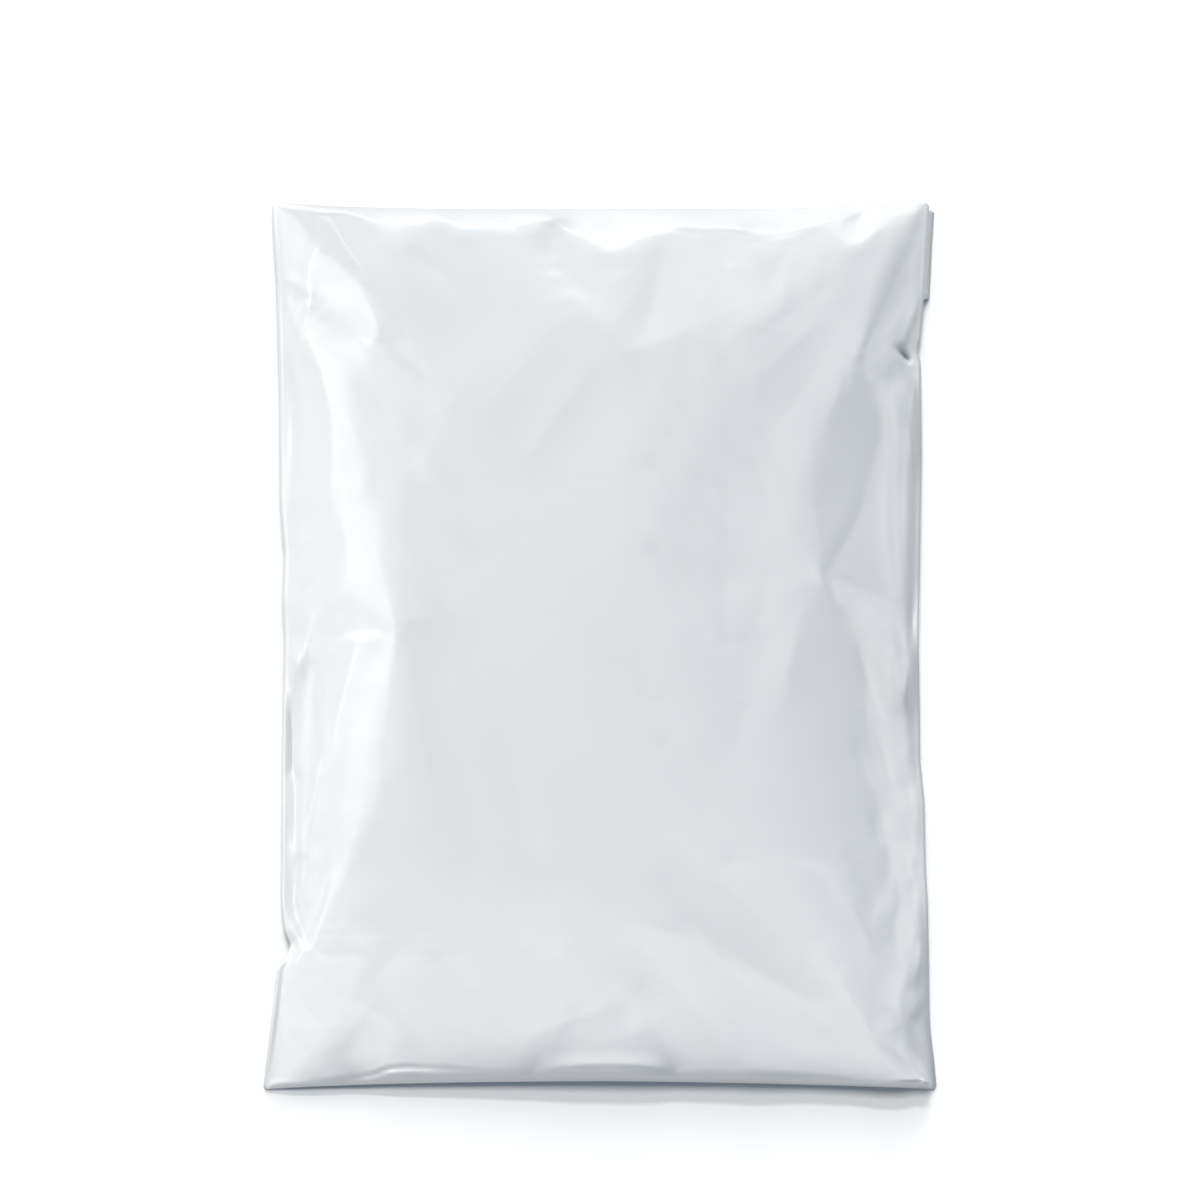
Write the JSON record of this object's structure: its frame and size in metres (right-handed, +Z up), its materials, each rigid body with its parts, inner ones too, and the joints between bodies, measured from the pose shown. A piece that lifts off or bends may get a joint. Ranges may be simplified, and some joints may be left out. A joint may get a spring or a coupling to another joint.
{
  "type": "poly mailer bag",
  "caption": "Filled and sealed white polythene mailer lying on its back, with side welds, a folded bottom and a closure flap glued down behind the top fold.",
  "frame": {"origin": "on the surface the bag lies on, under the middle of the bag", "axes": "+X to the right as the front is looked at, +Y from the bottom fold to the top fold where the flap turns over, +Z up, out of the front"},
  "size_m": [0.251, 0.33, 0.043],
  "materials": {
    "mailer_film": "glossy white polythene film"
  },
  "bodies": {
    "root": {"mailer_bag": "mailer_film"}
  },
  "joints": []
}
